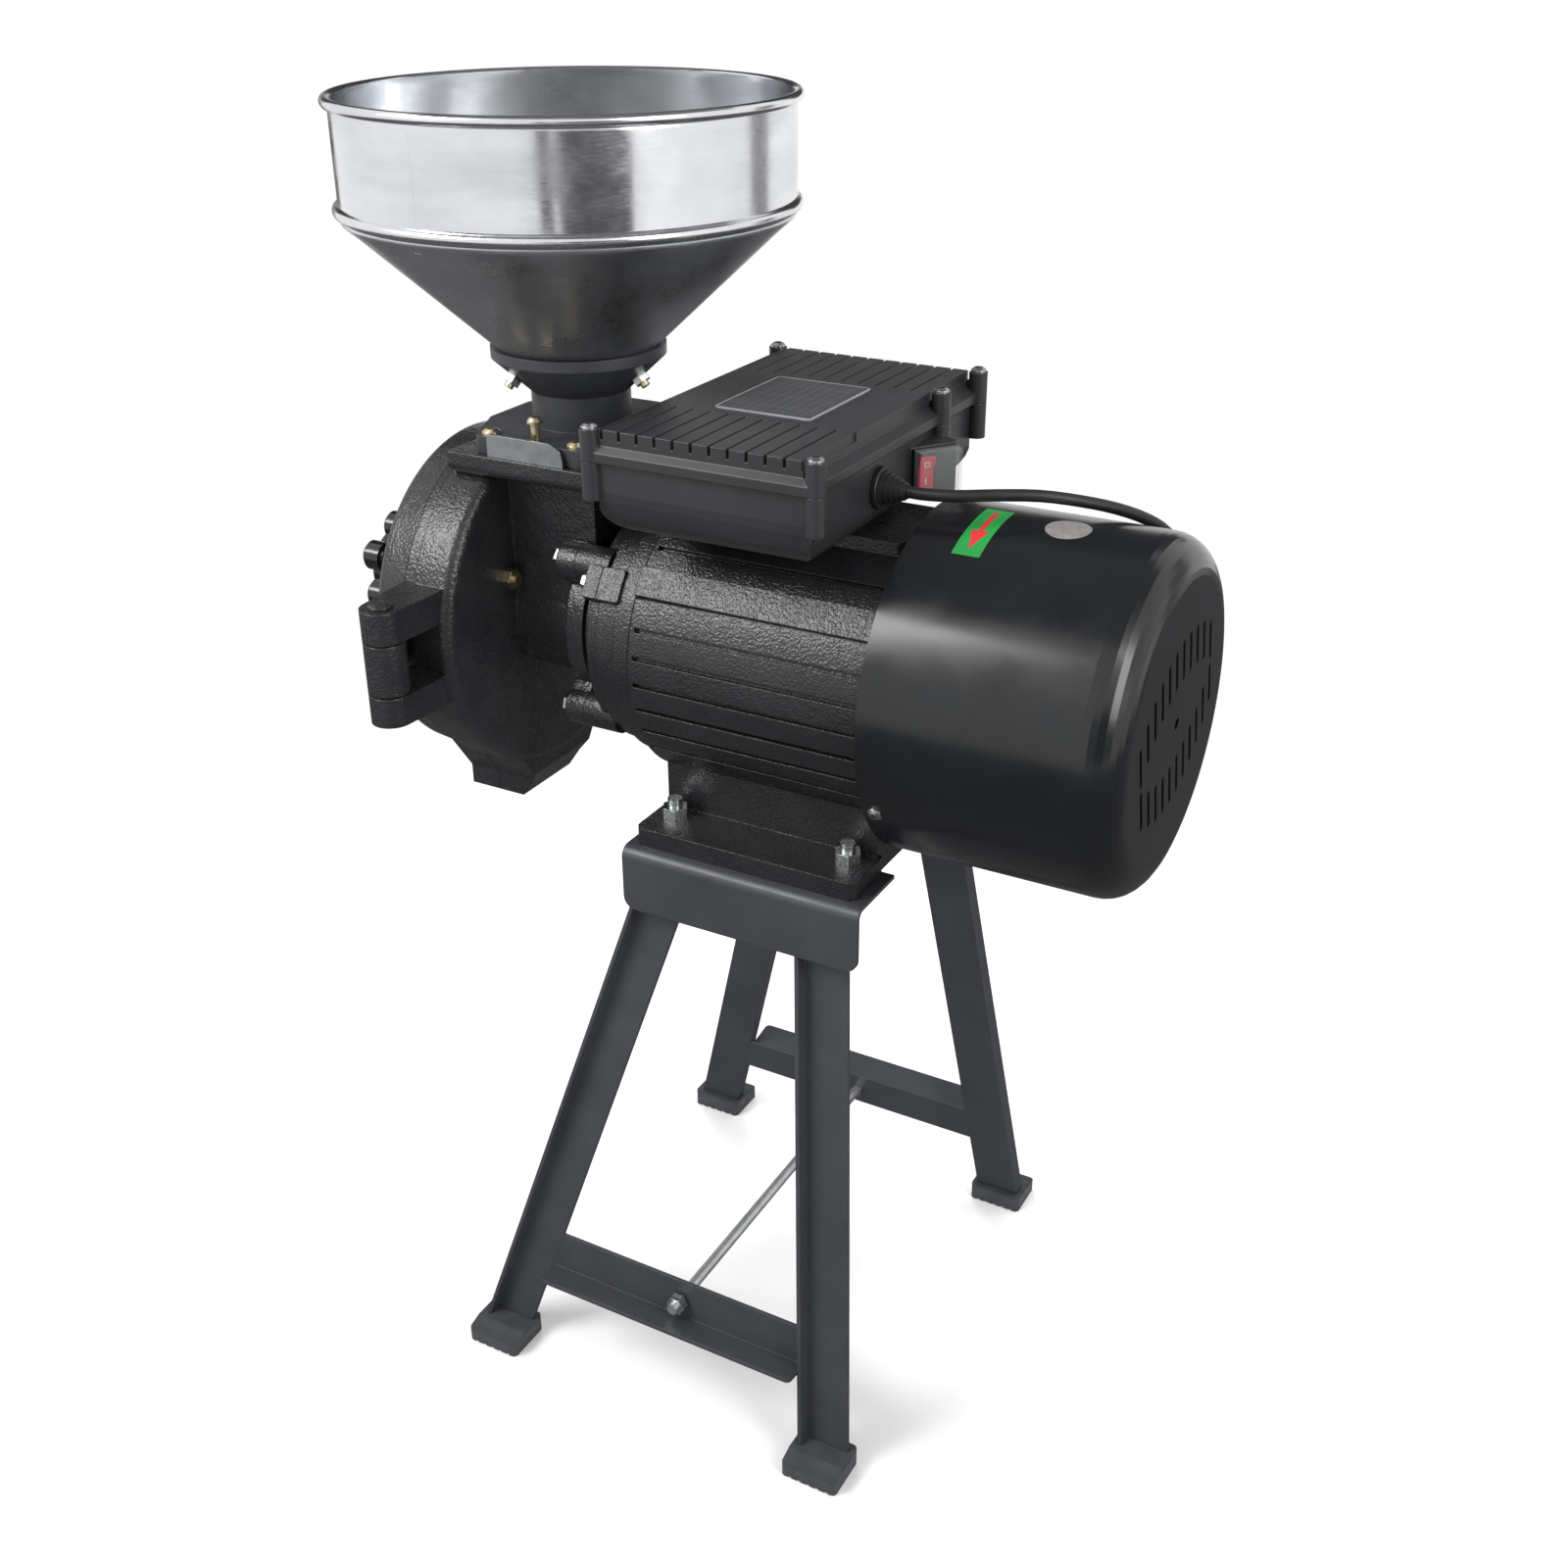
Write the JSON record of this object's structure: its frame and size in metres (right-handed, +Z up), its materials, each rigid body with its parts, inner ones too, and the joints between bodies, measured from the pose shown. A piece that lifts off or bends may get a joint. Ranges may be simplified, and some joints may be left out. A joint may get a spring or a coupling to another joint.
{
  "type": "electric grain mill",
  "caption": "Disc grain mill driven straight by an electric motor, with a round steel hopper, a hinged front cover, a switch box on the motor and a four-legged stand.",
  "frame": {"origin": "on the floor, at the centre of the box that holds the mill without its cord", "axes": "+X along the shaft from the star knob towards the fan cover, +Y towards the cover's clamp screw, +Z up"},
  "size_m": [0.608, 0.375, 0.893],
  "materials": {
    "stand_enamel": "satin black enamel",
    "foot_rubber": "matt moulded rubber",
    "zinc_steel": "bright zinc plate",
    "motor_enamel": "semi-gloss black enamel",
    "core_steel": "stacked laminations",
    "winding_copper": "varnished copper wire",
    "bright_steel": "turned steel",
    "fan_plastic": "moulded",
    "box_plastic": "satin moulded plastic",
    "plate_aluminium": "brushed, blank",
    "switch_black": "moulded",
    "rocker_red": "gloss",
    "clear_plastic": "clear soft plastic",
    "capacitor_black": "gloss",
    "capacitor_white": "gloss",
    "terminal_cream": "moulded",
    "mill_enamel": "semi-gloss black enamel on a casting",
    "knob_black": "gloss moulded plastic",
    "grinding_iron": "bare cast iron",
    "yellow_zinc": "yellow zinc plate on steel",
    "seal_rubber": "moulded rubber",
    "hopper_steel": "bright stainless sheet",
    "cord_rubber": "matt sheath"
  },
  "bodies": {
    "machine": {"front_top_plate": "stand_enamel", "rear_top_plate": "stand_enamel", "front_left_leg": "stand_enamel", "front_right_leg": "stand_enamel", "rear_left_leg": "stand_enamel", "rear_right_leg": "stand_enamel", "front_crossbar": "stand_enamel", "rear_crossbar": "stand_enamel", "rubber_feet": "foot_rubber", "tie_rod": "zinc_steel", "tie_rod_nuts": "zinc_steel", "motor_frame": "motor_enamel", "front_end_shield": "motor_enamel", "rear_end_shield": "motor_enamel", "stator_core": "core_steel", "stator_windings": "winding_copper", "front_bearing": "bright_steel", "rear_bearing": "bright_steel", "fan_cover": "motor_enamel", "fan_cover_screws": "zinc_steel", "shield_bolts": "zinc_steel", "mill_flange_bolts": "zinc_steel", "foundation_bolts": "zinc_steel", "box_body": "box_plastic", "box_lid": "box_plastic", "lid_screws": "zinc_steel", "rating_plate": "plate_aluminium", "switch_frame": "switch_black", "switch_cover": "clear_plastic", "start_capacitor": "capacitor_black", "run_capacitor": "capacitor_white", "terminal_block": "terminal_cream", "cable_gland": "switch_black", "mill_housing": "mill_enamel", "hinge_pin": "mill_enamel", "fixed_grinding_disc": "grinding_iron", "disc_bolts": "yellow_zinc", "shaft_seal": "seal_rubber", "inlet_plate": "mill_enamel", "plate_screws": "yellow_zinc", "hopper": "hopper_steel", "hopper_bolts": "yellow_zinc", "hopper_nuts": "zinc_steel", "power_cord": "cord_rubber", "cord_hank": "cord_rubber", "cord_tie": "cord_rubber", "power_plug": "cord_rubber"},
    "rotor": {"motor_shaft": "bright_steel", "rotor_core": "core_steel", "cooling_fan": "fan_plastic", "moving_grinding_disc": "grinding_iron", "feed_auger": "grinding_iron"},
    "cover": {"front_cover": "mill_enamel"},
    "clamp": {"clamp_screw": "knob_black"},
    "screw": {"thrust_screw": "bright_steel"},
    "knob": {"adjusting_knob": "knob_black"},
    "nut": {"lock_nut": "zinc_steel"},
    "gate": {"gate_slide": "hopper_steel"},
    "gate_lock": {"gate_lock_screw": "yellow_zinc"},
    "rocker": {"switch_rocker": "rocker_red"}
  },
  "joints": [
    {"name": "rotor_spin", "type": "hinge", "parent": "machine", "child": "rotor", "pos_m": [-0.124, 0, 0.549], "axis": [1, 0, 0], "continuous": true},
    {"name": "cover_hinge", "type": "hinge", "parent": "machine", "child": "cover", "pos_m": [-0.178, -0.16, 0.549], "axis": [0, 0, 1], "range_deg": [0, 110]},
    {"name": "clamp_slide", "type": "slide", "parent": "cover", "child": "clamp", "axis": [-1, 0, 0], "range_m": [0, 0.0135]},
    {"name": "screw_slide", "type": "slide", "parent": "cover", "child": "screw", "axis": [-1, 0, 0], "range_m": [0, 0.004]},
    {"name": "knob_turn", "type": "hinge", "parent": "screw", "child": "knob", "pos_m": [-0.295, 0, 0.549], "axis": [-1, 0, 0], "range_deg": [0, 720]},
    {"name": "nut_turn", "type": "hinge", "parent": "cover", "child": "nut", "pos_m": [-0.276, 0, 0.549], "axis": [-1, 0, 0], "range_deg": [0, 360]},
    {"name": "gate_slide_out", "type": "slide", "parent": "machine", "child": "gate", "axis": [0, -1, 0], "range_m": [0, 0.06]},
    {"name": "gate_lock_lift", "type": "slide", "parent": "machine", "child": "gate_lock", "axis": [0, 0, 1], "range_m": [0, 0.008]},
    {"name": "rocker_tilt", "type": "hinge", "parent": "machine", "child": "rocker", "pos_m": [0.1188, 0.03441, 0.674], "axis": [0.6018, 0.7986, 0], "range_deg": [-14, 0]}
  ],
  "couplings": [
    {"joint": "knob_turn", "follows": "screw_slide", "rad_per_m": 3141.6}
  ]
}
